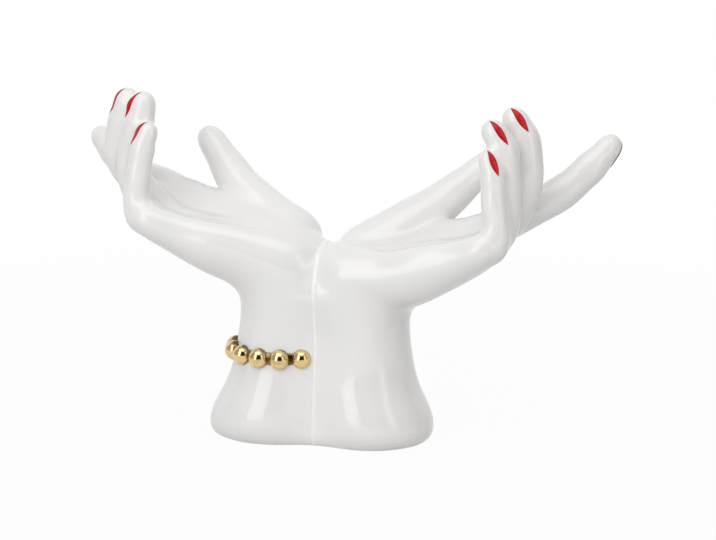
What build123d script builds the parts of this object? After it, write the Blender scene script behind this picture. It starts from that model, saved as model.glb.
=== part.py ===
from build123d import *
import os
from dataclasses import dataclass, replace
from functools import cache
from math import atan2, cos, degrees, floor, hypot, pi, radians, sin

# Ceramic centrepiece of two joined hands, palms up, in millimetres.
# The origin is under the joint of the two wrists, +Z is up and the viewer stands at -Y.
# Every hand is worked out on the +X side and mirrored for the viewer's left.

# Casting
WALL = 5.5
FOOT_THICKNESS = 6.0
VENT_DIAMETER = 6.0
QUARTER_STEPS = 2

# Joint between the two castings
SEAM_THICKNESS = 1.0
SEAM_GROOVE = 0.8
SADDLE_HEIGHT = 115.0

# Wrist bend: its sections fan about a line along Y at this distance from the joint
BEND_X = 73.5
PALM_SLOPE = 27.0
PALM_SQUARENESS = 2.8

# Digits: thinning between the joints, and length of the round tip in tip radii
WAIST = 0.96
TIP_ROUNDNESS = 1.25
TIP_STEPS = (40, 70)

# Nails and bracelet
NAIL_THICKNESS = 0.6
NAIL_SETBACK = 1.0
BRACELET_HEIGHT = 52.0
BAND_WIDTH = 6.0
BAND_THICKNESS = 1.0
BAND_END_GAP = 2.0
BEAD_DIAMETER = 11.0
BEAD_GAP = 1.4


@dataclass(frozen=True)
class Station:
    """One cross-section of the arm, measured from the bend line towards the palm side."""

    near: float
    far: float
    half_width: float
    height: float = 0.0
    tilt: float = 0.0
    along: float = 0.0
    shift: float = 0.0
    hollow: float = 0.0


@dataclass(frozen=True)
class Digit:
    """A finger or thumb: its buried start in the palm, its bones, its thickness and its nail."""

    along: float
    depth: float
    across: float
    bones: tuple
    radii: tuple
    nail_length: float
    nail_width: float
    nail_turn: float = 0.0


@dataclass(frozen=True, eq=False)
class Side:
    """One casting: which way it faces and how this hand is held."""

    name: str
    sign: int
    wrist_height: float
    foot_flare: float
    palm_roll: float
    curl_turn: float
    elevations: dict
    leans: dict


# Forearm sections: height, outer reach from the joint, overlap past the joint and half depth
FOREARM = (
    (0.0, 60.0, 5.5, 31.0),
    (8.0, 65.0, 6.0, 35.3),
    (30.0, 57.5, 5.2, 32.5),
    (BRACELET_HEIGHT, 52.0, 4.8, 29.5),
)

WRIST = Station(near=23.0, far=78.0, half_width=29.0)
SADDLE = Station(near=23.0, far=0.0, half_width=30.5)
HEEL = Station(tilt=46, near=22.5, far=70.0, half_width=32.0, hollow=1.0)

PALM_TILT = 90.0 - PALM_SLOPE
PALM = (
    Station(tilt=PALM_TILT, along=12, near=22.5, far=62.0, half_width=35.0, hollow=8.0),
    Station(tilt=PALM_TILT, along=34, near=24.0, far=56.5, half_width=37.5, shift=1.0, hollow=11.0),
    Station(tilt=PALM_TILT, along=52, near=28.5, far=52.5, half_width=37.0, shift=-1.0, hollow=9.0),
    Station(tilt=PALM_TILT, along=57, near=32.5, far=48.5, half_width=31.0, shift=-2.0, hollow=5.0),
    Station(tilt=PALM_TILT, along=61, near=36.5, far=43.0, half_width=20.0, shift=-2.0),
)

DIGITS = {
    "little": Digit(39.5, 36.5, -27, (14, 27, 15.5, 15), (5.0, 7.9, 8.0, 7.4, 6.2), 15, 5.0),
    "ring": Digit(40.5, 38, -12, (14, 33, 22, 17), (5.5, 8.9, 8.9, 8.8, 7.7), 16, 5.0),
    "middle": Digit(42, 39.5, 5, (14, 35, 23.5, 17.5), (5.5, 9.3, 9.2, 8.9, 7.8), 16, 5.4),
    "index": Digit(39, 40.5, 15, (14, 42, 24.5, 21.5), (5.5, 11.2, 10.4, 9.4, 7.6), 16, 6.0, 5),
    "thumb": Digit(-46, 44.7, 6.5, (31, 31, 30, 33), (17.0, 19.0, 15.2, 11.2, 8.8), 17, 8.0, 75),
}

LEFT = Side(
    name="left",
    sign=-1,
    wrist_height=78.0,
    foot_flare=5.5,
    palm_roll=8.0,
    curl_turn=-28.0,
    elevations={
        "little": (27, 91, 99, 110),
        "ring": (27, 76, 106, 104),
        "middle": (27, 55, 104, 106),
        "index": (27, 15, 29, 34),
        "thumb": (46, 33, 44, 47),
    },
    leans={"little": 4, "ring": -2, "middle": -11, "index": 34, "thumb": 28},
)
RIGHT = Side(
    name="right",
    sign=1,
    wrist_height=67.5,
    foot_flare=0.0,
    palm_roll=5.0,
    curl_turn=-55.0,
    elevations={
        "little": (27, 93, 93, 108),
        "ring": (27, 83, 96, 120),
        "middle": (27, 67, 98, 119),
        "index": (27, 28, 43, 50),
        "thumb": (57, 36, 39, 42),
    },
    leans={"little": 4, "ring": -2, "middle": 0, "index": 22, "thumb": 28},
)


def signed_power(value, power):
    """The power of a value with its sign kept, and a plain zero near zero."""
    if abs(value) < 1e-9:
        return 0.0
    return abs(value) ** power * (1 if value > 0 else -1)


def tilted(angle):
    """Two unit vectors at a tilt of the bend: along the arm, and out to the palm side."""
    along = Vector(sin(radians(angle)), 0, cos(radians(angle)))
    outward = Vector(-cos(radians(angle)), 0, sin(radians(angle)))
    return along, outward


def arm_stations(side):
    """Every section of one arm from the foot to the knuckles, at the height of its own wrist."""
    stations = []
    for height, reach, overlap, half_depth in FOREARM:
        flare = side.foot_flare * (1 - height / side.wrist_height)
        stations.append(Station(BEND_X - reach - flare, BEND_X + overlap, half_depth, height))
    rise = SADDLE_HEIGHT - side.wrist_height
    saddle = replace(SADDLE, tilt=degrees(atan2(rise, BEND_X)), far=hypot(rise, BEND_X))
    for station in (WRIST, saddle, HEEL) + PALM:
        stations.append(replace(station, height=side.wrist_height))
    return stations


def across_palm(tilt, side):
    """Unit vector from the little-finger edge to the thumb edge, rolled more the nearer the palm."""
    outward = tilted(tilt)[1]
    roll = radians(side.palm_roll * tilt / PALM_TILT)
    return Vector(0, cos(roll), 0) + outward * sin(roll)


def station_plane(station, side):
    """Plane of a section: local X runs to the back, local Y from the bend line to the palm side."""
    along, outward = tilted(station.tilt)
    middle = (station.near + station.far) / 2
    origin = Vector(BEND_X, 0, station.height) + along * station.along + outward * middle
    return Plane(origin=origin, x_dir=across_palm(station.tilt, side), z_dir=along)


def station_point(station, grow, angle):
    """A point round a section: an ellipse at the forearm, squarer and hollowed across the palm."""
    power = 2 / (2 + (PALM_SQUARENESS - 2) * station.tilt / PALM_TILT)
    across = signed_power(cos(angle), power)
    up = signed_power(sin(angle), power)
    dip = station.hollow * max(up, 0) * (1 - across**2) ** 1.5
    half_height = (station.far - station.near) / 2 + grow
    return (station.shift + (station.half_width + grow) * across, half_height * up - dip)


def draw_station(station, grow):
    """Draw a section as four quarter curves that meet smoothly at its sides, top and bottom."""
    for quarter in range(4):
        steps = range(quarter * QUARTER_STEPS, (quarter + 1) * QUARTER_STEPS + 1)
        angles = [pi / 2 * step / QUARTER_STEPS for step in steps]
        ends = [(round(-sin(angle)), round(cos(angle))) for angle in (angles[0], angles[-1])]
        Spline([station_point(station, grow, angle) for angle in angles], tangents=ends)


@cache
def arm_solid(side, grow=0.0):
    """The smooth loft of one arm on the +X side, thickened by grow."""
    with BuildPart() as arm:
        for station in arm_stations(side):
            with BuildSketch(station_plane(station, side)):
                with BuildLine():
                    draw_station(station, grow)
                make_face()
        loft()
    return arm.part


def cavity_solid(side):
    """The hollow of one casting, a wall inside its arm, from the foot to the heel of the hand."""
    stations = arm_stations(side)
    hollow = [station for station in stations if station.tilt <= HEEL.tilt]
    with BuildPart() as cavity:
        for station in hollow:
            with BuildSketch(station_plane(station, side)):
                with BuildLine():
                    draw_station(station, -WALL)
                make_face()
        loft(ruled=True)
        split(bisect_by=Plane.XY.offset(FOOT_THICKNESS))
        split(bisect_by=Plane.YZ.offset(SEAM_THICKNESS / 2 + WALL))
    return cavity.part


def digit_joints(side, name):
    """Joint centres of a digit from its buried start to its tip, on the +X side."""
    digit = DIGITS[name]
    along, outward = tilted(PALM_TILT)
    start = Vector(BEND_X, 0, side.wrist_height) + along * digit.along + outward * digit.depth
    start += across_palm(PALM_TILT, side) * digit.across
    joints = [start]
    lean = radians(side.leans[name])
    for length, elevation in zip(digit.bones, side.elevations[name]):
        rise = radians(elevation)
        direction = Vector(cos(lean) * cos(rise), sin(lean), cos(lean) * sin(rise))
        joints.append(joints[-1] + direction * length)
    return joints


def digit_rings(side, name):
    """Centre, direction and radius of each round section of a digit, up to the start of its tip."""
    radii = DIGITS[name].radii
    joints = digit_joints(side, name)
    last_bone = (joints[-1] - joints[-2]).normalized()
    stops = joints[:-1] + [joints[-1] - last_bone * radii[-1] * TIP_ROUNDNESS]
    with BuildLine() as spine:
        Spline(stops)
    curve = spine.edge()
    places = [curve.param_at_point(stop) for stop in stops]
    rings = [(curve @ 0, curve % 0, radii[0])]
    for index in range(1, len(places)):
        middle = (places[index - 1] + places[index]) / 2
        waist = (radii[index - 1] + radii[index]) / 2 * WAIST
        rings.append((curve @ middle, curve % middle, waist))
        rings.append((curve @ places[index], curve % places[index], radii[index]))
    return rings


@cache
def digit_solid(side, name, grow=0.0):
    """The loft of one digit through its round sections to a domed tip, thickened by grow."""
    rings = [(centre, axis, radius + grow) for centre, axis, radius in digit_rings(side, name)]
    end, axis, radius = rings[-1]
    reach = axis * (radius * TIP_ROUNDNESS)
    for step in TIP_STEPS:
        rings.append((end + reach * sin(radians(step)), axis, radius * cos(radians(step))))
    sections = []
    with BuildPart() as digit:
        for centre, axis, radius in rings:
            with BuildSketch(Plane(origin=centre, x_dir=(0, 1, 0), z_dir=axis)) as ring:
                with BuildLine():
                    for quarter in range(4):
                        CenterArc((0, 0), radius, 90 * quarter, 90)
                make_face()
            sections.append(ring.sketch)
        loft(sections=sections + [Vertex(end + reach)])
    return digit.part


def hand_solid(side):
    """One hollow casting: arm and digits in one piece, closed by its foot and flat at the joint."""
    with BuildPart() as hand:
        add(arm_solid(side))
        add(cavity_solid(side), mode=Mode.SUBTRACT)
        for name in DIGITS:
            add(digit_solid(side, name))
        split(bisect_by=Plane.YZ.offset(SEAM_THICKNESS / 2))
        with Locations(((BEND_X - WRIST.near) / 2, 0, 0)):
            Cylinder(VENT_DIAMETER / 2, FOOT_THICKNESS * 3, mode=Mode.SUBTRACT)
    return hand.part


def placed(solid, side):
    """A solid of the +X side put on its own side of the joint."""
    return solid if side.sign > 0 else mirror(solid, about=Plane.YZ)


def nail_solid(side, name):
    """A pointed-oval nail, as thin as enamel, that follows the end of its digit."""
    digit = DIGITS[name]
    joints = digit_joints(side, name)
    axis = (joints[-1] - joints[-2]).normalized()
    back = Vector(0, 1, 0).cross(axis).normalized()
    facing = back.rotate(Axis((0, 0, 0), axis), digit.nail_turn or side.curl_turn)
    middle = joints[-1] - axis * (NAIL_SETBACK + digit.nail_length / 2)
    half_length = digit.nail_length / 2
    half_width = digit.nail_width / 2
    with BuildPart() as nail:
        with BuildSketch(Plane(origin=middle, x_dir=axis, z_dir=facing)):
            with BuildLine():
                ThreePointArc((-half_length, 0), (0, half_width), (half_length, 0))
                ThreePointArc((half_length, 0), (0, -half_width), (-half_length, 0))
            make_face()
        extrude(amount=digit.radii[-2] * 2)
        add(digit_solid(side, name, grow=NAIL_THICKNESS), mode=Mode.INTERSECT)
        for other in DIGITS:
            add(digit_solid(side, other), mode=Mode.SUBTRACT)
    return nail.part


os.makedirs("parts", exist_ok=True)


def keep(solid, name):
    """Label a finished piece and write it as a node of its own."""
    solid.label = name
    export_step(solid, f"parts/{name}.step")


for side in (LEFT, RIGHT):
    keep(placed(hand_solid(side), side), f"{side.name}_hand")
    for name in DIGITS:
        keep(placed(nail_solid(side, name), side), f"{side.name}_{name}_nail")

with BuildPart() as wrist_seam:
    add(arm_solid(RIGHT, grow=-SEAM_GROOVE))
    add(placed(arm_solid(LEFT, grow=-SEAM_GROOVE), LEFT), mode=Mode.INTERSECT)
    split(bisect_by=Plane.XY)
    split(bisect_by=Plane.YZ.offset(-SEAM_THICKNESS / 2))
    split(bisect_by=Plane.YZ.offset(SEAM_THICKNESS / 2), keep=Keep.BOTTOM)
keep(wrist_seam.part, "wrist_seam")

with BuildPart() as bracelet_band:
    add(arm_solid(LEFT, grow=BAND_THICKNESS))
    split(bisect_by=Plane.XY.offset(BRACELET_HEIGHT - BAND_WIDTH / 2))
    split(bisect_by=Plane.XY.offset(BRACELET_HEIGHT + BAND_WIDTH / 2), keep=Keep.BOTTOM)
    split(bisect_by=Plane.YZ.offset(SEAM_THICKNESS / 2 + BAND_END_GAP))
    add(arm_solid(LEFT), mode=Mode.SUBTRACT)
keep(placed(bracelet_band.part, LEFT), "bracelet_band")

bead_station = next(s for s in arm_stations(LEFT) if s.height == BRACELET_HEIGHT and s.tilt == 0)
with BuildSketch(station_plane(bead_station, LEFT)) as bead_outline:
    with BuildLine():
        draw_station(bead_station, BAND_THICKNESS)
    make_face()
with BuildLine() as bead_path:
    add(bead_outline.sketch.edges())
    split(bisect_by=Plane.YZ.offset(SEAM_THICKNESS / 2 + BAND_END_GAP + BEAD_DIAMETER / 2))
path = bead_path.wire()
bead_spaces = floor(path.length / (BEAD_DIAMETER + BEAD_GAP))
with BuildPart() as bracelet_beads:
    for space in range(bead_spaces + 1):
        with Locations(path @ (space / bead_spaces)):
            Sphere(BEAD_DIAMETER / 2)
    add(arm_solid(LEFT, grow=BAND_THICKNESS), mode=Mode.SUBTRACT)
keep(placed(bracelet_beads.part, LEFT), "bracelet_beads")
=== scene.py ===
"""Looks of the ceramic hand sculpture.

Two glazed castings, the slip between them, enamel nails, a gold bracelet and a plain studio. Shapes are in
millimetres, and materials and the studio are in metres.
"""

import logging
import math
from dataclasses import dataclass, field
from enum import Enum
from functools import cached_property
from typing import Any, Mapping, Sequence, Union

import bmesh
import bpy
import numpy as np
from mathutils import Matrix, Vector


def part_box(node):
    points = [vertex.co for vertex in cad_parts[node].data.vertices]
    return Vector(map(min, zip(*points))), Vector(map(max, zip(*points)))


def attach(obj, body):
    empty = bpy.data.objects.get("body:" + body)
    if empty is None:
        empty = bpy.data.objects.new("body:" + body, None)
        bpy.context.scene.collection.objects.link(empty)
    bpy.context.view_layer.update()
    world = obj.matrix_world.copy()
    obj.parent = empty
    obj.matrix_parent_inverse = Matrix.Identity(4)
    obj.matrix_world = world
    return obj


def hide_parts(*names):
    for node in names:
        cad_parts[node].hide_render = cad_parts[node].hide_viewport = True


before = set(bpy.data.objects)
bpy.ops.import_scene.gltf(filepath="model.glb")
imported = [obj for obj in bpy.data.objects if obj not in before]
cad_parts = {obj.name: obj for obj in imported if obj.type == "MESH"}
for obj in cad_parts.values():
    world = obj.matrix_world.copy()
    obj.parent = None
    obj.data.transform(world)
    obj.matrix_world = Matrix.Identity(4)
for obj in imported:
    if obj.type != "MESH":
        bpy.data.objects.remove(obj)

import openvdb
from mathutils import Vector
from mathutils.bvhtree import BVHTree

LOG = logging.getLogger("hand_sculpture")
BODY = "root"
MM = 0.001
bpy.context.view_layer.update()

Operand = Union["Value", float]


class Value:
    """A number that varies over a surface; arithmetic on it adds Math nodes."""

    def __init__(self, graph: "ShaderGraph", socket: bpy.types.NodeSocket) -> None:
        """Wrap an output socket of a graph."""
        self.graph = graph
        self.socket = socket

    def _maths(self, operation: str, first: Operand, second: Operand) -> "Value":
        """Add one Math node and wrap its result."""
        node = self.graph.node("ShaderNodeMath", {"operation": operation}, {0: first, 1: second})
        return Value(self.graph, node.outputs[0])

    def __add__(self, other: Operand) -> "Value":
        """Return self + other."""
        return self._maths("ADD", self, other)

    def __radd__(self, other: Operand) -> "Value":
        """Return other + self."""
        return self._maths("ADD", other, self)

    def __sub__(self, other: Operand) -> "Value":
        """Return self - other."""
        return self._maths("SUBTRACT", self, other)

    def __rsub__(self, other: Operand) -> "Value":
        """Return other - self."""
        return self._maths("SUBTRACT", other, self)

    def __mul__(self, other: Operand) -> "Value":
        """Return self * other."""
        return self._maths("MULTIPLY", self, other)

    def __rmul__(self, other: Operand) -> "Value":
        """Return other * self."""
        return self._maths("MULTIPLY", other, self)

    def highest(self, other: Operand) -> "Value":
        """Return the larger of self and other."""
        return self._maths("MAXIMUM", self, other)

    def step(self, low: float, high: float) -> "Value":
        """Return a smooth rise from 0 at low to 1 at high."""
        node = self.graph.node(
            "ShaderNodeMapRange",
            {"interpolation_type": "SMOOTHSTEP"},
            {"Value": self, "From Min": low, "From Max": high},
        )
        return Value(self.graph, node.outputs["Result"])


class ShaderGraph:
    """The node tree of one material or of the world."""

    def __init__(self, name: str, world: bpy.types.World | None = None) -> None:
        """Start an empty node tree.

        Args:
            name: The name of a new material.
            world: A world that gets the nodes instead of a material.
        """
        self.owner = world or bpy.data.materials.new(name)
        self.owner.use_nodes = True
        self.tree = self.owner.node_tree
        self.tree.nodes.clear()

    def node(
        self, kind: str, settings: Mapping[str, Any] | None = None, inputs: Mapping[Any, Any] | None = None
    ) -> bpy.types.Node:
        """Add a node, set it up and feed its sockets.

        Args:
            kind: The node's type name.
            settings: Properties that are set before the sockets.
            inputs: Socket name or number to a plain value, a Value or an output socket.

        Returns:
            The new node.
        """
        made = self.tree.nodes.new(kind)
        for name, value in (settings or {}).items():
            setattr(made, name, value)
        for key, value in (inputs or {}).items():
            socket = made.inputs[key]
            if isinstance(value, Value):
                self.tree.links.new(value.socket, socket)
            elif isinstance(value, bpy.types.NodeSocket):
                self.tree.links.new(value, socket)
            else:
                socket.default_value = value
        return made

    def place(self) -> bpy.types.NodeSocket:
        """Return the surface point in object space, in metres."""
        return self.node("ShaderNodeTexCoord").outputs["Object"]

    def height(self) -> Value:
        """Return the surface point's height above the table, in metres."""
        split = self.node("ShaderNodeSeparateXYZ", inputs={0: self.place()})
        return Value(self, split.outputs["Z"])

    def noise(self, scale: float, detail: float = 2.0, stretch: Sequence[float] = (1, 1, 1)) -> Value:
        """Add a noise texture in object space.

        Args:
            scale: Number of features per metre.
            detail: Octaves.
            stretch: Scale of each axis before the noise.

        Returns:
            The noise, around 0.5.
        """
        mapped = self.node("ShaderNodeMapping", inputs={"Vector": self.place(), "Scale": tuple(stretch)})
        made = self.node(
            "ShaderNodeTexNoise", inputs={"Vector": mapped.outputs[0], "Scale": scale, "Detail": detail}
        )
        return Value(self, made.outputs["Fac"])

    def attribute(self, name: str) -> Value:
        """Return a number that is stored at the mesh's points."""
        made = self.node("ShaderNodeAttribute", {"attribute_name": name})
        return Value(self, made.outputs["Fac"])

    def blend(self, share: Value, first: Sequence[float], second: Any) -> bpy.types.NodeSocket:
        """Mix two colours.

        Args:
            share: How much of the second colour shows.
            first: A colour or a colour socket.
            second: A colour or a colour socket.

        Returns:
            The mixed colour's socket.
        """
        mix = self.node(
            "ShaderNodeMix",
            {"data_type": "RGBA", "clamp_factor": True},
            {0: share, 6: opaque(first), 7: opaque(second)},
        )
        return mix.outputs[2]

    def relief(self, height: Value, depth: float) -> bpy.types.NodeSocket:
        """Return the normal of a bump of that depth in metres."""
        made = self.node("ShaderNodeBump", inputs={"Height": height, "Distance": depth, "Strength": 1.0})
        return made.outputs["Normal"]

    def direct(self) -> Value:
        """Return 1 for what the camera sees, also in gloss and through glass, and 0 for other light."""
        path = self.node("ShaderNodeLightPath")
        seen, mirrored, through = (
            Value(self, path.outputs[f"Is {ray} Ray"]) for ray in ("Camera", "Glossy", "Transmission")
        )
        return seen.highest(mirrored).highest(through)

    def surface(self, shader: bpy.types.Node) -> Any:
        """Send a shader to the output and return the finished material or world."""
        world = isinstance(self.owner, bpy.types.World)
        kind = "ShaderNodeOutputWorld" if world else "ShaderNodeOutputMaterial"
        self.node(kind, inputs={"Surface": shader.outputs[0]})
        return self.owner


def opaque(colour: Any) -> Any:
    """Return a colour with an alpha of 1, or a socket as it is."""
    return (*colour, 1.0) if isinstance(colour, (tuple, list)) and len(colour) == 3 else colour


@dataclass(frozen=True)
class WhiteGlaze:
    """Gloss white glaze on cast earthenware, with painted shade, a darker and cooler colour, in the filled
    creases, and bare under the foot.
    """

    name: str = "white_glaze"
    colour: tuple = (0.86, 0.855, 0.845)
    thin: tuple = (0.87, 0.85, 0.825)
    # painted shade: the darker, cooler colour for the filled creases
    pooled: tuple = (0.78, 0.785, 0.79)
    biscuit: tuple = (0.80, 0.76, 0.70)
    roughness: float = 0.07
    bare_roughness: float = 0.6
    ior: float = 1.6
    bare_below: float = 0.0007
    drift_scale: float = 14.0
    ripple_scale: float = 90.0
    grain_scale: float = 2600.0
    ripple_depth: float = 0.00012

    def material(self) -> bpy.types.Material:
        """Build the material."""
        graph = ShaderGraph(self.name)
        drift = graph.noise(self.drift_scale, 3.0).step(0.35, 0.7)
        # painted shade: the filled creases turn to the darker, cooler colour
        pooled = graph.attribute("pooled").step(0.15, 1.0) * 0.8
        glazed = graph.blend(pooled, graph.blend(drift, self.colour, self.thin), self.pooled)
        bare = 1 - graph.height().step(self.bare_below * 0.4, self.bare_below)
        grain = graph.noise(self.grain_scale)
        ripple = graph.noise(self.ripple_scale)
        shader = graph.node(
            "ShaderNodeBsdfPrincipled",
            inputs={
                "Base Color": graph.blend(bare, glazed, self.biscuit),
                "Roughness": self.roughness + drift * 0.03 + bare * self.bare_roughness,
                "IOR": self.ior,
                "Normal": graph.relief(ripple + grain * bare * 0.3, self.ripple_depth),
            },
        )
        return graph.surface(shader)


@dataclass(frozen=True)
class JointSlip:
    """Slip that lutes the two castings, glazed over, with a colour painted paler than the hands as a
    painted highlight along the seam line.
    """

    name: str = "seam_slip"
    # painted highlight: paler than the glaze so that the seam shows as a bright line
    colour: tuple = (0.93, 0.925, 0.915)
    stained: tuple = (0.89, 0.88, 0.865)
    roughness: float = 0.14
    ior: float = 1.5
    patch_scale: float = 160.0
    lump_scale: float = 240.0
    lump_depth: float = 0.00015

    def material(self) -> bpy.types.Material:
        """Build the material."""
        graph = ShaderGraph(self.name)
        patches = graph.noise(self.patch_scale, 3.0, (1, 1, 0.3)).step(0.45, 0.75)
        shader = graph.node(
            "ShaderNodeBsdfPrincipled",
            inputs={
                "Base Color": graph.blend(patches * 0.5, self.colour, self.stained),
                "Roughness": self.roughness + patches * 0.06,
                "IOR": self.ior,
                "Normal": graph.relief(graph.noise(self.lump_scale), self.lump_depth),
            },
        )
        return graph.surface(shader)


@dataclass(frozen=True)
class RedEnamel:
    """Gloss red enamel laid on with a brush, with random brush tone, and painted shade darkening the rim
    of the nail.
    """

    name: str = "nail_enamel"
    colour: tuple = (0.58, 0.006, 0.014)
    # painted shade: the darker red for the nail's rim, also used for random brush tone
    deep: tuple = (0.24, 0.003, 0.010)
    roughness: float = 0.14
    gloss: float = 0.3
    stroke_scale: float = 420.0
    stroke_depth: float = 0.00006

    def material(self) -> bpy.types.Material:
        """Build the material."""
        graph = ShaderGraph(self.name)
        strokes = graph.noise(self.stroke_scale, 3.0)
        # painted shade along the nail's rim, plus random brush tone from the strokes
        rim = 1 - graph.attribute("crown").step(0.0, 0.55)
        strokes_and_rim_shade = strokes.step(0.4, 0.75) * 0.25 + rim * 0.7
        shader = graph.node(
            "ShaderNodeBsdfPrincipled",
            inputs={
                "Base Color": graph.blend(strokes_and_rim_shade, self.colour, self.deep),
                "Roughness": self.roughness + strokes * 0.08,
                "Specular IOR Level": self.gloss,
                "Normal": graph.relief(strokes, self.stroke_depth),
            },
        )
        return graph.surface(shader)


@dataclass(frozen=True)
class GoldLustre:
    """Fired gold lustre with random cloudy tone, and painted shade, dark brown and duller, on the beads'
    sides and on the band; bright on the crowns.
    """

    name: str = "gold_lustre"
    colour: tuple = (0.74, 0.56, 0.28)
    # painted shade colour, also used for the random cloudy tone
    cloudy_tone_and_shade: tuple = (0.05, 0.03, 0.015)
    roughness: float = 0.08
    cloud_scale: float = 260.0
    grain_scale: float = 500.0
    grain_depth: float = 0.00005

    def material(self) -> bpy.types.Material:
        """Build the material."""
        graph = ShaderGraph(self.name)
        cloud = graph.noise(self.cloud_scale, 3.0).step(0.45, 0.8)
        # painted shade on the beads' sides and on the band, plus random cloudy tone
        recess_shade = graph.attribute("recess_shade").step(0.2, 1.0)
        shader = graph.node(
            "ShaderNodeBsdfPrincipled",
            inputs={
                "Base Color": graph.blend(cloud * 0.25 + recess_shade * 0.8, self.colour, self.cloudy_tone_and_shade),
                "Metallic": 1.0,
                "Roughness": self.roughness + cloud * 0.05 + recess_shade * 0.2,
                "Normal": graph.relief(graph.noise(self.grain_scale), self.grain_depth),
            },
        )
        return graph.surface(shader)


class Side(Enum):
    """The two hands, named from the viewer's place, with the sign of their X."""

    LEFT = -1
    RIGHT = 1

    @property
    def label(self) -> str:
        """The word in the CAD nodes' names."""
        return self.name.lower()


class LevelSet:
    """Signed distances to a surface on a dense grid, in millimetres."""

    border = 12

    def __init__(self, values: np.ndarray, corner: np.ndarray, voxel: float) -> None:
        """Hold distances.

        Args:
            values: Distances, negative inside.
            corner: Grid index of the first value.
            voxel: Grid pitch.
        """
        self.values = values
        self.corner = corner
        self.voxel = voxel

    @classmethod
    def around(
        cls,
        points: np.ndarray,
        faces: np.ndarray,
        voxel: float,
        band: float,
        like: "LevelSet | None" = None,
    ) -> "LevelSet":
        """Measure a closed mesh.

        Args:
            points: Corner positions in millimetres.
            faces: Triangles or quads as rows of corner numbers.
            voxel: Grid pitch.
            band: How far from the surface distances are kept.
            like: A level set whose grid is used again.

        Returns:
            The distances to that mesh.
        """
        shape = "triangles" if faces.shape[1] == 3 else "quads"
        grid = openvdb.FloatGrid.createLevelSetFromPolygons(
            points=np.ascontiguousarray(points, np.float32),
            transform=openvdb.createLinearTransform(voxelSize=voxel),
            halfWidth=band / voxel,
            **{shape: np.ascontiguousarray(faces, np.uint32)},
        )
        if like is None:
            corner = np.floor(points.min(0) / voxel).astype(int) - cls.border
            size = np.ceil(points.max(0) / voxel).astype(int) + cls.border + 1 - corner
        else:
            corner, size = like.corner, np.array(like.values.shape)
        values = np.empty(tuple(size), np.float32)
        grid.copyToArray(values, ijk=tuple(int(i) for i in corner))
        return cls(values, corner, voxel)

    def quads(self, level: float = 0.0) -> tuple[np.ndarray, np.ndarray]:
        """Mesh the surface at a distance.

        Args:
            level: The distance from the zero surface.

        Returns:
            Points in millimetres and quads that face outwards.
        """
        grid = openvdb.FloatGrid(float(self.values.max()))
        grid.transform = openvdb.createLinearTransform(voxelSize=self.voxel)
        grid.copyFromArray(np.ascontiguousarray(self.values), ijk=tuple(int(i) for i in self.corner))
        points, quads = grid.convertToQuads(level)
        first, second, third, fourth = (points[quads[:, i]] for i in range(4))
        facing = np.einsum("ij,ij->i", first + third, np.cross(third - first, fourth - second)).sum()
        return points, quads if facing > 0 else quads[:, ::-1]

    def closed(self, radius: float) -> "LevelSet":
        """Return the shape with a fillet of that radius in every inner crease."""
        points, quads = self.quads(radius)
        grown = LevelSet.around(points, quads, self.voxel, radius + 3 * self.voxel, self)
        grown.values += radius
        return grown

    def smoothed(self, passes: int) -> "LevelSet":
        """Return the shape after that many passes of a small binomial filter."""
        values = self.values.copy()
        for _ in range(passes):
            for axis in range(3):
                values = np.moveaxis(values, axis, 0)
                inner = (values[:-2] + 2 * values[1:-1] + values[2:]) / 4
                values = np.concatenate([values[:1], inner, values[-1:]])
                values = np.moveaxis(values, 0, axis)
        return LevelSet(values, self.corner, self.voxel)

    def window(self, low: np.ndarray, high: np.ndarray) -> "LevelSet":
        """Cut out a box.

        Args:
            low: The box's lower corner in millimetres.
            high: Its upper corner.

        Returns:
            The distances in that box.
        """
        first = np.floor(low / self.voxel).astype(int)
        last = np.ceil(high / self.voxel).astype(int) + 1
        part = tuple(slice(a, b) for a, b in zip(first - self.corner, last - self.corner))
        return LevelSet(self.values[part], first, self.voxel)

    def places(self) -> tuple[np.ndarray, np.ndarray, np.ndarray]:
        """Return X, Y and Z of the grid in millimetres, shaped to broadcast."""
        axes = [
            (np.arange(size) + start) * self.voxel for size, start in zip(self.values.shape, self.corner)
        ]
        return axes[0][:, None, None], axes[1][None, :, None], axes[2][None, None, :]


def rise(value: np.ndarray, low: float, high: float) -> np.ndarray:
    """Return a smooth step from 0 at low to 1 at high."""
    share = np.clip((value - low) / (high - low), 0, 1)
    return share * share * (3 - 2 * share)


def line_distance(points: np.ndarray, line: Sequence[Sequence[float]]) -> np.ndarray:
    """Measure how far points lie from a line of straight runs.

    Args:
        points: Positions, one row each.
        line: The corners of the line.

    Returns:
        One distance for each point.
    """
    nearest = np.full(len(points), np.inf)
    corners = np.array(line, float)
    for start, end in zip(corners[:-1], corners[1:]):
        run = end - start
        share = np.clip((points - start) @ run / (run @ run), 0, 1)
        gap = points - start - share[:, None] * run
        nearest = np.minimum(nearest, np.linalg.norm(gap, axis=1))
    return nearest


def mesh_object(name: str, points: np.ndarray, faces: Any) -> bpy.types.Object:
    """Make a smooth-shaded mesh in the scene.

    Args:
        name: The piece's name.
        points: Positions in millimetres.
        faces: Rows of corner numbers, which may differ in length.

    Returns:
        The new object.
    """
    mesh = bpy.data.meshes.new(name)
    mesh.from_pydata((np.asarray(points, float) * MM).tolist(), [], [list(face) for face in faces])
    mesh.update()
    mesh.shade_smooth()
    made = bpy.data.objects.new(name, mesh)
    bpy.context.scene.collection.objects.link(made)
    return made


def store(piece: bpy.types.Object, name: str, numbers: np.ndarray) -> None:
    """Store one number at each of a mesh's points, for its material."""
    layer = piece.data.attributes.new(name, "FLOAT", "POINT")
    layer.data.foreach_set("value", np.ascontiguousarray(numbers, np.float32))


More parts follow.
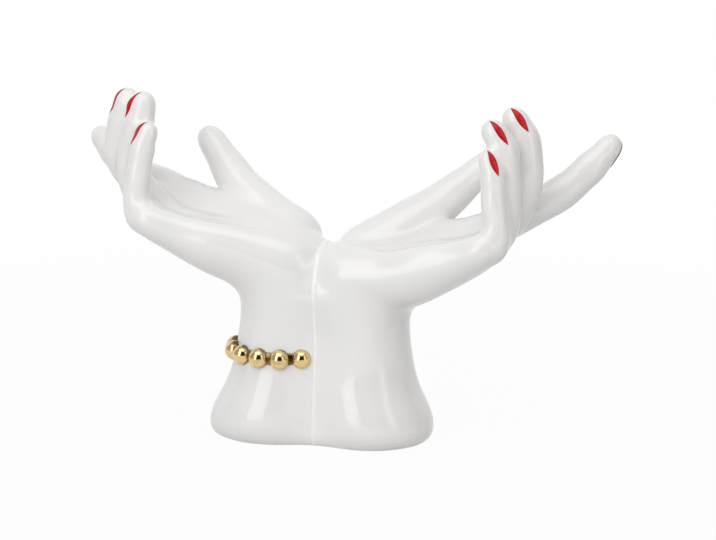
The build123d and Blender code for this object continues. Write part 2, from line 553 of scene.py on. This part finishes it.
def point_normals(points: np.ndarray, quads: np.ndarray) -> np.ndarray:
    """Return unit normals at the points of a quad mesh."""
    corners = points[quads]
    facing = np.cross(corners[:, 2] - corners[:, 0], corners[:, 3] - corners[:, 1])
    normals = np.zeros_like(points)
    for corner in range(4):
        np.add.at(normals, quads[:, corner], facing)
    return normals / np.maximum(np.linalg.norm(normals, axis=1, keepdims=True), 1e-9)


def settle(piece: bpy.types.Object, material: bpy.types.Material, slot: str, *nodes: str) -> None:
    """Dress a piece, let it stand for CAD nodes and tie it to the body.

    Args:
        piece: The finished mesh.
        material: Its finish.
        slot: Not used.
        nodes: The CAD nodes that it stands for.
    """
    piece.data.materials.append(material)
    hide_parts(*nodes)
    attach(piece, BODY)
    LOG.info("%s: %d points, stands for %s", piece.name, len(piece.data.vertices), ", ".join(nodes))


@dataclass(frozen=True)
class PalmFrame:
    """Place and axes of one palm, in millimetres and degrees, and where its zone begins and ends."""

    side: Side
    wrist_height: float
    roll: float
    slope: float = 27.0
    bend: float = 73.5
    heel: tuple = (0.0, 15.0)
    fingers: tuple = (60.0, 76.0)
    top: tuple = (60.0, 72.0)
    thumb: tuple = (24.0, 36.0)

    def local(self, points: np.ndarray) -> np.ndarray:
        """Turn points into the palm's own axes.

        Args:
            points: Positions in the row frame.

        Returns:
            Along to the fingers, across to the thumb, and out of the palm.
        """
        return (points * (self.side.value, 1, 1) - (self.bend, 0, self.wrist_height)) @ self.axes().T

    def zone(self, x: np.ndarray, y: np.ndarray, z: np.ndarray) -> np.ndarray:
        """Weigh places by how near they are to the palm and the finger roots.

        Args:
            x: X in millimetres.
            y: Y in millimetres.
            z: Z in millimetres.

        Returns:
            1 in the palm and round the finger roots, and 0 away from them.
        """
        slope = math.radians(self.slope)
        forward, up = x * self.side.value - self.bend, z - self.wrist_height
        along = forward * math.cos(slope) + up * math.sin(slope)
        out = up * math.cos(slope) - forward * math.sin(slope)
        ends = rise(along, *self.heel) * (1 - rise(along, *self.fingers))
        return ends * (1 - rise(out, *self.top)) * (1 - rise(y, *self.thumb))

    def axes(self) -> np.ndarray:
        """Return the unit axes along, across and out on the +X side."""
        slope, roll = math.radians(self.slope), math.radians(self.roll)
        along = np.array([math.cos(slope), 0, math.sin(slope)])
        out = np.array([-math.sin(slope), 0, math.cos(slope)])
        depth = np.array([0, 1.0, 0])
        across = depth * math.cos(roll) + out * math.sin(roll)
        return np.array([along, across, out * math.cos(roll) - depth * math.sin(roll)])


@dataclass(frozen=True)
class Fold:
    """A soft fold across the palm: its line along and across the palm, its depth and its half width."""

    line: tuple
    depth: float
    width: float


@dataclass
class Casting:
    """One hand casting with its creases filled as glaze fills them, and the folds of its palm.

    The radii crease and web fill creases. The lengths joint and saddle say how softly the two castings run
    together, below and at the top. A pair of numbers says where a change begins and where it is complete.
    """

    palm: PalmFrame
    folds: Sequence[Fold]
    voxel: float = 1.0
    crease: float = 1.8
    web: float = 5.0
    web_width: tuple = (36.0, 52.0)
    web_height: tuple = (40.0, 70.0)
    passes: int = 3
    palm_passes: int = 14
    joint: float = 23.0
    saddle: float = 5.0
    saddle_height: tuple = (86.0, 112.0)
    joint_width: tuple = (24.0, 34.0)
    cut: float = 0.5
    fold_facing: tuple = (0.25, 0.7)
    fold_above: tuple = (34.0, 40.0)
    # depth and X range of the painted crease shade in the glaze
    crease_shade_depth: float = 2.0
    crease_shade_width: tuple = (40.0, 60.0)
    vent_x: float = 25.25
    vent_radius: float = 3.0
    vent_depth: float = 6.0
    node: str = field(init=False)
    whole: LevelSet = field(init=False)

    def __post_init__(self) -> None:
        """Name the CAD node of this side."""
        self.node = f"{self.palm.side.label}_hand"

    @cached_property
    def skin(self) -> tuple[np.ndarray, np.ndarray]:
        """Take the outside of the hollow CAD solid.

        Returns:
            Points in millimetres and triangles, with the vent closed.
        """
        shell = bmesh.new()
        shell.from_mesh(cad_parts[self.node].data)
        bmesh.ops.remove_doubles(shell, verts=shell.verts, dist=1e-6)
        axis = Vector((self.palm.side.value * self.vent_x * MM, 0.0))
        reach = (self.vent_radius + 0.05) * MM
        vent = {face for face in shell.faces if all((v.co.xy - axis).length < reach for v in face.verts)}
        waiting = [max(shell.verts, key=lambda v: v.co.z).link_faces[0]]
        outside = set(waiting)
        while waiting:
            for edge in waiting.pop().edges:
                for face in edge.link_faces:
                    if face not in outside and face not in vent:
                        outside.add(face)
                        waiting.append(face)
        bmesh.ops.delete(shell, geom=[f for f in shell.faces if f not in outside], context="FACES")
        bmesh.ops.holes_fill(shell, edges=[e for e in shell.edges if e.is_boundary], sides=0)
        bmesh.ops.triangulate(shell, faces=shell.faces)
        shell.verts.index_update()
        points = np.array([v.co for v in shell.verts]) / MM
        triangles = np.array([[v.index for v in face.verts] for face in shell.faces])
        shell.free()
        return points, triangles

    def body(self, neighbour: "Casting") -> tuple[LevelSet, LevelSet]:
        """Soften the solid and let it run smoothly up to its neighbour.

        Args:
            neighbour: The casting on the other side of the joint.

        Returns:
            The casting before its creases are filled, and after that, run together with its neighbour.
        """
        band = self.joint + 2 * self.voxel
        sharp = LevelSet.around(*self.skin, self.voxel, band)
        other = LevelSet.around(*neighbour.skin, self.voxel, band, sharp)
        x, y, z = sharp.places()
        wide = np.abs(x)
        soft = sharp.closed(self.crease).smoothed(self.passes).values
        filled = sharp.closed(self.web)
        for passes, share in (
            (self.passes, (1 - rise(wide, *self.web_width)) * rise(z, *self.web_height)),
            (self.palm_passes, self.palm.zone(x, y, z)),
        ):
            soft = soft + (filled.smoothed(passes).values - soft) * share
        reach = self.joint + (self.saddle - self.joint) * rise(z, *self.saddle_height)
        near = np.clip(1 - np.abs(sharp.values - other.values) / reach, 0, 1)
        joined = np.minimum(sharp.values, other.values) - near * near * reach / 4
        joined = LevelSet(np.maximum(joined, -z), sharp.corner, self.voxel).smoothed(self.passes)
        soft = soft + (np.minimum(soft, joined.values) - soft) * (1 - rise(wide, *self.joint_width))
        return sharp, LevelSet(soft.astype(np.float32), sharp.corner, self.voxel)

    def parted(self) -> LevelSet:
        """Return the casting cut off at the joint and with its vent."""
        x, y, z = self.whole.places()
        vent = np.hypot(x - self.palm.side.value * self.vent_x, y) - self.vent_radius
        vent = np.maximum(vent, z - self.vent_depth)
        values = np.maximum(np.maximum(self.whole.values, self.cut - self.palm.side.value * x), -vent)
        return LevelSet(values.astype(np.float32), self.whole.corner, self.voxel)

    def fold_depth(self, points: np.ndarray, normals: np.ndarray) -> np.ndarray:
        """Work out how deep the palm's folds are at each point.

        Args:
            points: Positions in millimetres.
            normals: Unit normals there.

        Returns:
            Depths in millimetres.
        """
        place = self.palm.local(points)
        out = self.palm.axes()[2] * (self.palm.side.value, 1, 1)
        facing = rise(normals @ out, *self.fold_facing) * rise(place[:, 2], *self.fold_above)
        depth = np.zeros(len(points))
        for fold in self.folds:
            gap = line_distance(place[:, :2], fold.line)
            depth += fold.depth * np.exp(-((gap / fold.width) ** 2))
        return depth * facing

    def build(
        self, neighbour: "Casting", finish: WhiteGlaze, material: bpy.types.Material
    ) -> bpy.types.Object:
        """Make the piece.

        Args:
            neighbour: The casting on the other side of the joint.
            finish: The glaze.
            material: The glaze's material.

        Returns:
            The hand as a mesh object.
        """
        sharp, self.whole = self.body(neighbour)
        points, quads = self.parted().quads()
        normals = point_normals(points, quads)
        depth = self.fold_depth(points, normals)
        piece = mesh_object(f"{self.node}_glazed", points - normals * depth[:, None], quads)
        index = np.rint(points / self.voxel).astype(int) - sharp.corner
        # painted shade: the filled creases, away from the joint and outside the palm, get the darker glaze
        # colour
        fill = np.clip(sharp.values[tuple(index.T)], 0, self.crease_shade_depth) / self.crease_shade_depth
        fill = fill * rise(np.abs(points[:, 0]), *self.crease_shade_width)
        store(piece, "pooled", fill * (1 - self.palm.zone(*points.T)))
        settle(piece, material, finish.name, self.node)
        return piece


@dataclass
class Nail:
    """A pointed-oval nail of enamel laid on the end of one digit.

    The share slim narrows the CAD nail, and stretch lengthens it. The rim dips under the glaze by margin,
    the middle stands proud by crown, and the back of the enamel lies sunk in the digit.
    """

    node: str
    slim: float
    stretch: float = 1.07
    margin: float = 0.15
    crown: float = 0.45
    sunk: float = 0.4
    tip: float = 0.02
    steepness: float = 3.0
    above: float = 6.0
    reach: float = 14.0
    along: int = 26
    across: int = 12

    def axes(self) -> tuple[np.ndarray, np.ndarray]:
        """Read where the CAD nail lies.

        Returns:
            Its middle in millimetres, and unit axes along, across and out as rows.
        """
        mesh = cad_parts[self.node].data
        points = np.array([v.co for v in mesh.vertices]) / MM
        centred = points - points.mean(0)
        axes = np.linalg.svd(centred, full_matrices=False)[2]
        span = centred @ axes.T
        order = np.argsort(-np.ptp(span, axis=0))
        axes = axes[order]
        ends = np.abs(span[:, order[1]]) > np.ptp(span[:, order[1]]) * 0.35
        crown = span[~ends][:, order[2]].mean() - span[ends][:, order[2]].mean()
        axes[2] *= 1 if crown > 0 else -1
        return points.mean(0) + ((span.max(0) + span.min(0)) / 2)[order] @ axes, axes

    def size(self, middle: np.ndarray, axes: np.ndarray) -> tuple[float, float]:
        """Return the CAD nail's half length and half width in millimetres."""
        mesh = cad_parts[self.node].data
        points = np.array([v.co for v in mesh.vertices]) / MM - middle
        return float(np.abs(points @ axes[0]).max()), float(np.abs(points @ axes[1]).max())

    def build(self, hand: bpy.types.Object, finish: RedEnamel, material: bpy.types.Material) -> None:
        """Lay the nail on its hand.

        Args:
            hand: The finished casting.
            finish: The enamel.
            material: The enamel's material.
        """
        middle, axes = self.axes()
        half_length, half_width = self.size(middle, axes)
        vertices = [v.co / MM for v in hand.data.vertices]
        tree = BVHTree.FromPolygons(vertices, [tuple(p.vertices) for p in hand.data.polygons])
        top, under, crown = [], [], []
        for row in np.linspace(-1, 1, self.along + 1):
            breadth = max(1 - row * row, self.tip)
            for column in np.linspace(-1, 1, self.across + 1):
                aside = column * breadth * half_width * self.slim
                start = middle + axes[0] * (row * half_length * self.stretch) + axes[1] * aside
                high = Vector(start + axes[2] * self.above)
                hit, normal, _, _ = tree.ray_cast(high, Vector(-axes[2]), self.reach)
                if hit is None:
                    hit, normal, _, _ = tree.find_nearest(Vector(start))
                edge = (1 - column**2) * breadth
                swell = min(1.0, edge * self.steepness) ** 0.5
                lift = -self.margin + (self.crown + self.margin) * swell
                top.append(np.array(hit + normal * lift))
                under.append(np.array(hit - normal * self.sunk))
                crown.append(1 - abs(column))
        points, faces = closed_patch(top, under, self.along, self.across)
        piece = mesh_object(f"{self.node}_enamel", points, faces)
        store(piece, "crown", np.array(crown * 2))
        settle(piece, material, finish.name, self.node)


def closed_patch(
    top: Sequence[np.ndarray], under: Sequence[np.ndarray], rows: int, columns: int
) -> tuple[np.ndarray, list]:
    """Join two grids of points into one closed thin shell.

    Args:
        top: The upper grid, row by row.
        under: The lower grid in the same order.
        rows: Spaces along the grid.
        columns: Spaces across the grid.

    Returns:
        All points, and the faces.
    """
    width, count = columns + 1, len(top)
    faces = []
    for row in range(rows):
        for column in range(columns):
            a = row * width + column
            quad = (a, a + 1, a + width + 1, a + width)
            faces.append(quad[::-1])
            faces.append(tuple(i + count for i in quad))
    rim = [row * width for row in range(rows + 1)]
    rim += [rows * width + column for column in range(1, width)]
    rim += [row * width + columns for row in range(rows - 1, -1, -1)]
    rim += list(range(columns - 1, 0, -1))
    for a, b in zip(rim, rim[1:] + rim[:1]):
        faces.append((a, b, b + count, a + count))
    return np.array(list(top) + list(under)), faces


@dataclass
class Seam:
    """The luted joint: a fine raised line of slip and glaze between the two wrists."""

    half_width: float = 2.0
    proud: float = 0.55
    tuck: float = 0.1
    room: tuple = (5.0, 18.0, 4.0)

    def build(
        self, castings: Sequence[Casting], finish: JointSlip, material: bpy.types.Material
    ) -> None:
        """Make the piece.

        Args:
            castings: The two castings, after their pieces are made.
            finish: The slip.
            material: The slip's material.
        """
        low, high = (np.array(corner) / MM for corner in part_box("wrist_seam"))
        sides = [casting.whole.window(low - self.room, high + self.room) for casting in castings]
        x, _, z = sides[0].places()
        ridge = self.tuck - self.proud * (1 - (x / self.half_width) ** 2)
        ridge = ridge + np.minimum(sides[0].values, sides[1].values)
        ridge = np.maximum(np.maximum(ridge, np.abs(x) - self.half_width), self.tuck - z)
        slip = LevelSet(ridge.astype(np.float32), sides[0].corner, sides[0].voxel)
        piece = mesh_object("wrist_seam_slip", *slip.quads())
        settle(piece, material, finish.name, "wrist_seam")


@dataclass
class Bracelet:
    """Gold beads in relief on a band, from one end of the seam round to the other."""

    middle_x: float = -24.52
    reach_x: float = 30.32
    reach_y: float = 30.5
    height: float = 52.0
    bead_radius: float = 5.9
    beads: int = 11
    first_x: float = -8.0
    end_x: float = -2.6
    bead_segments: tuple = (40, 24)
    # where the painted shade on each bead begins and how fast it deepens
    bead_shade: tuple = (0.35, 0.6)
    band_width: float = 7.6
    band_rise: float = 1.8
    band_sunk: float = 1.5
    band_rings: int = 181
    band_arc: int = 13
    taper_rings: int = 6
    fine: int = 2000

    def oval(self, angles: np.ndarray) -> np.ndarray:
        """Return the places on the wrist at angles in radians."""
        across, deep = self.middle_x + self.reach_x * np.cos(angles), self.reach_y * np.sin(angles)
        return np.stack([across, deep, np.full(len(angles), self.height)], axis=1)

    def line(self, end_x: float, count: int) -> tuple[np.ndarray, np.ndarray]:
        """Space points evenly round the wrist.

        Args:
            end_x: X of both ends.
            count: How many points.

        Returns:
            Places and outward directions.
        """
        end = math.acos((end_x - self.middle_x) / self.reach_x)
        angles = np.linspace(-end, -2 * math.pi + end, self.fine)
        steps = np.linalg.norm(np.diff(self.oval(angles), axis=0), axis=1)
        run = np.concatenate([[0], np.cumsum(steps)])
        even = np.interp(np.linspace(0, run[-1], count), run, angles)
        out = np.stack([np.cos(even) / self.reach_x, np.sin(even) / self.reach_y, even * 0], axis=1)
        out /= np.linalg.norm(out, axis=1, keepdims=True)
        return self.oval(even), out

    def build_beads(self, finish: GoldLustre, material: bpy.types.Material) -> None:
        """Make the row of beads as one piece.

        Args:
            finish: The lustre.
            material: The lustre's material.
        """
        row = bmesh.new()
        around, rings = self.bead_segments
        places, outward = self.line(self.first_x, self.beads)
        for place, out in zip(places, outward):
            bead = bmesh.ops.create_uvsphere(
                row, u_segments=around, v_segments=rings, radius=self.bead_radius
            )
            turn = Vector(out).to_track_quat("X", "Z")
            for vertex in bead["verts"]:
                vertex.co = turn @ vertex.co + Vector(place)
        row.verts.index_update()
        points = np.array([v.co for v in row.verts])
        faces = [[v.index for v in face.verts] for face in row.faces]
        row.free()
        piece = mesh_object("bracelet_beads_gold", points, faces)
        centres = np.repeat(places, len(points) // self.beads, axis=0)
        outs = np.repeat(outward, len(points) // self.beads, axis=0)
        # painted shade: each bead is darkened on its sides and back, away from its crown
        crown = np.einsum("ij,ij->i", points - centres, outs) / self.bead_radius
        level, depth = self.bead_shade
        store(piece, "recess_shade", rise(level - crown, 0.0, depth))
        settle(piece, material, finish.name, "bracelet_beads")

    def build_band(self, finish: GoldLustre, material: bpy.types.Material) -> None:
        """Make the half-round band under the beads.

        Args:
            finish: The lustre.
            material: The lustre's material.
        """
        places, outward = self.line(self.end_x, self.band_rings)
        half, arc = self.band_width / 2, np.radians(np.linspace(0, 180, self.band_arc))
        profile = [(math.cos(a) * half, math.sin(a) * self.band_rise) for a in arc]
        profile += [(-half, -self.band_sunk), (half, -self.band_sunk)]
        points, recess_shade = [], []
        for index, (place, out) in enumerate(zip(places, outward)):
            end = min(index, len(places) - 1 - index)
            taper = math.sqrt(min(1.0, (end + 0.4) / self.taper_rings))
            for up, proud in profile:
                points.append(place - out + out * proud * taper + np.array([0, 0, up * taper]))
                # painted shade: the whole band is darkened, standing in for the shadow between the beads
                recess_shade.append(1.0 - 0.5 * abs(up) / self.band_width)
        count = len(profile)
        faces = []
        for ring in range(len(places) - 1):
            for step in range(count):
                a, b = ring * count + step, ring * count + (step + 1) % count
                faces.append((a, a + count, b + count, b))
        faces.append(tuple(range(count)))
        faces.append(tuple(range(len(points) - 1, len(points) - 1 - count, -1)))
        piece = mesh_object("bracelet_band_gold", np.array(points), faces)
        store(piece, "recess_shade", np.array(recess_shade))
        settle(piece, material, finish.name, "bracelet_band")


@dataclass(frozen=True)
class Lamp:
    """A soft lamp: degrees from the camera's line and above the table, metres away, size and watts."""

    name: str
    turn: float
    lift: float
    distance: float
    size: tuple
    watts: float
    mirrored: bool = True


LAMPS = (
    Lamp("softbox_left", -38, 22, 1.6, (0.8, 1.6), 7.2),
    Lamp("strip_right", 44, 18, 1.6, (0.36, 1.6), 2.0),
    Lamp("overhead", -20, 70, 1.5, (1.6, 1.2), 5.4),
    Lamp("front", -6, 24, 1.7, (1.0, 1.0), 6.0, False),
    Lamp("back", 160, 38, 1.7, (1.2, 1.0), 8.5, False),
)


@dataclass
class Studio:
    """Camera, floor, a screen for the gloss and soft lights, in metres and degrees."""

    azimuth: float = 14.0
    elevation: float = 11.5
    distance: float = 1.4
    pivot: tuple = (0.0, 0.0, 0.105)
    aim: tuple = (0.0188, 0.0047, 0.1002)
    lens: float = 119.7
    sensor: float = 36.0
    floor_radius: float = 12.0
    floor_drop: float = 0.0002
    floor_grey: float = 0.6
    floor_glow: float = 0.96
    glow_full: tuple = (0.25, 0.9)
    fill: float = 0.36
    flag_radius: float = 2.4
    flag_foot: float = 0.02
    flag_height: float = 3.4
    flag_sweep: float = 110.0
    flag_panels: int = 88
    flag_edge: tuple = (0.82, 0.93)
    flag_dark: float = 0.03
    flag_grey: float = 0.5

    def direction(self, azimuth: float, elevation: float) -> Vector:
        """Return the unit direction from the object to a place round it, in degrees."""
        turn, lift = math.radians(azimuth), math.radians(elevation)
        return Vector(
            (math.sin(turn) * math.cos(lift), -math.cos(turn) * math.cos(lift), math.sin(lift))
        )

    def camera(self) -> None:
        """Set the camera at the photograph's place."""
        data = bpy.data.cameras.new("camera")
        data.sensor_width = self.sensor
        data.lens = self.lens
        data.clip_start, data.clip_end = 0.05, 50.0
        made = bpy.data.objects.new("camera", data)
        made.location = Vector(self.pivot) + self.direction(self.azimuth, self.elevation) * self.distance
        made.rotation_mode = "QUATERNION"
        made.rotation_quaternion = (Vector(self.aim) - made.location).to_track_quat("-Z", "Y")
        bpy.context.scene.collection.objects.link(made)
        bpy.context.scene.camera = made

    def hang(self, lamp: Lamp) -> None:
        """Hang a lamp so that it faces the object."""
        data = bpy.data.lights.new(lamp.name, "AREA")
        data.shape = "RECTANGLE"
        data.size, data.size_y = lamp.size
        data.energy = lamp.watts
        made = bpy.data.objects.new(lamp.name, data)
        toward = self.direction(self.azimuth + lamp.turn, lamp.lift)
        made.location = Vector(self.pivot) + toward * lamp.distance
        made.rotation_mode = "QUATERNION"
        made.rotation_quaternion = (-toward).to_track_quat("-Z", "Y")
        made.visible_camera = False
        made.visible_glossy = lamp.mirrored
        bpy.context.scene.collection.objects.link(made)

    def floor(self) -> None:
        """Lay a plain white floor that keeps the object's soft shadow."""
        graph = ShaderGraph("floor_white")
        away = graph.node("ShaderNodeVectorMath", {"operation": "LENGTH"}, {0: graph.place()})
        far = Value(graph, away.outputs["Value"]).step(*self.glow_full)
        matt = graph.node("ShaderNodeBsdfDiffuse", inputs={"Color": opaque((self.floor_grey,) * 3)})
        glow = graph.node("ShaderNodeEmission", inputs={"Color": opaque((1, 1, 1)), "Strength": 1.0})
        share = graph.direct() * (self.floor_glow + far * (1 - self.floor_glow))
        mixed = graph.node(
            "ShaderNodeMixShader", inputs={0: share, 1: matt.outputs[0], 2: glow.outputs[0]}
        )
        plane = bmesh.new()
        bmesh.ops.create_circle(plane, cap_ends=True, segments=96, radius=self.floor_radius)
        made = self.stage_mesh("floor", plane, graph.surface(mixed))
        made.location.z = -self.floor_drop

    def flag(self) -> None:
        """Stand a screen round the front, dark behind the camera and grey beside it, for the gloss."""
        graph = ShaderGraph("flag_grey")
        front = self.direction(self.azimuth, 0.0)
        facing = graph.node(
            "ShaderNodeVectorMath", {"operation": "DOT_PRODUCT"}, {0: graph.place(), 1: front}
        )
        behind = Value(graph, facing.outputs["Value"]).step(
            *(self.flag_radius * share for share in self.flag_edge)
        )
        dark, grey = (
            graph.node("ShaderNodeEmission", inputs={"Color": opaque((1, 1, 1)), "Strength": strength})
            for strength in (self.flag_dark, self.flag_grey)
        )
        mixed = graph.node(
            "ShaderNodeMixShader", inputs={0: behind, 1: grey.outputs[0], 2: dark.outputs[0]}
        )
        screen = bmesh.new()
        columns = []
        for turn in np.linspace(-self.flag_sweep, self.flag_sweep, self.flag_panels + 1):
            foot = self.direction(self.azimuth + turn, 0.0) * self.flag_radius
            foot.z += self.flag_foot
            head = foot + Vector((0, 0, self.flag_height))
            columns.append((screen.verts.new(foot), screen.verts.new(head)))
        for (a, b), (c, d) in zip(columns, columns[1:]):
            screen.faces.new((a, c, d, b))
        made = self.stage_mesh("flag", screen, graph.surface(mixed))
        for ray in ("camera", "diffuse", "shadow", "transmission"):
            setattr(made, f"visible_{ray}", False)

    def stage_mesh(
        self, name: str, shape: bmesh.types.BMesh, material: bpy.types.Material
    ) -> bpy.types.Object:
        """Turn a shape into a piece of the set.

        Args:
            name: The piece's name.
            shape: The shape, which is freed.
            material: Its material.

        Returns:
            The new object.
        """
        mesh = bpy.data.meshes.new(name)
        shape.to_mesh(mesh)
        shape.free()
        mesh.materials.append(material)
        made = bpy.data.objects.new(name, mesh)
        bpy.context.scene.collection.objects.link(made)
        return made

    def world(self) -> None:
        """Fill the room with even light, and show it as white to the camera and in the gloss."""
        graph = ShaderGraph("studio", bpy.data.worlds.new("studio"))
        light, white = (
            graph.node("ShaderNodeBackground", inputs={"Color": opaque((1, 1, 1)), "Strength": strength})
            for strength in (self.fill, 1.0)
        )
        mixed = graph.node(
            "ShaderNodeMixShader", inputs={0: graph.direct(), 1: light.outputs[0], 2: white.outputs[0]}
        )
        bpy.context.scene.world = graph.surface(mixed)

    def build(self) -> None:
        """Make the whole set."""
        self.camera()
        self.floor()
        self.flag()
        self.world()
        for lamp in LAMPS:
            self.hang(lamp)
        bpy.context.scene.view_settings.view_transform = "Standard"


PALM_FOLDS = (
    Fold(((44, 13), (20, 9), (-4, 3)), 0.9, 5.5),
    Fold(((44, -3), (20, -4), (-8, -5)), 1.0, 5.5),
    Fold(((42, -17), (18, -13), (-6, -10)), 0.8, 5.0),
)
DIGITS = ("thumb", "index", "middle", "ring", "little")
NAIL_SLIM = {Side.LEFT: 0.62, Side.RIGHT: 0.86}


def main() -> None:
    """Build every piece in order and set up the studio."""
    logging.basicConfig(level=logging.INFO, format="%(name)s: %(message)s")
    glaze, slip, enamel, lustre = WhiteGlaze(), JointSlip(), RedEnamel(), GoldLustre()
    white, joint, red, gold = (finish.material() for finish in (glaze, slip, enamel, lustre))
    castings = (
        Casting(PalmFrame(Side.LEFT, 78.0, 8.0), PALM_FOLDS),
        Casting(PalmFrame(Side.RIGHT, 67.5, 5.0), PALM_FOLDS),
    )
    hands = [casting.build(other, glaze, white) for casting, other in zip(castings, castings[::-1])]
    for casting, hand in zip(castings, hands):
        side = casting.palm.side
        for digit in DIGITS:
            Nail(f"{side.label}_{digit}_nail", NAIL_SLIM[side]).build(hand, enamel, red)
    Seam().build(castings, slip, joint)
    bracelet = Bracelet()
    bracelet.build_band(lustre, gold)
    bracelet.build_beads(lustre, gold)
    Studio().build()


if __name__ == "__main__":
    main()
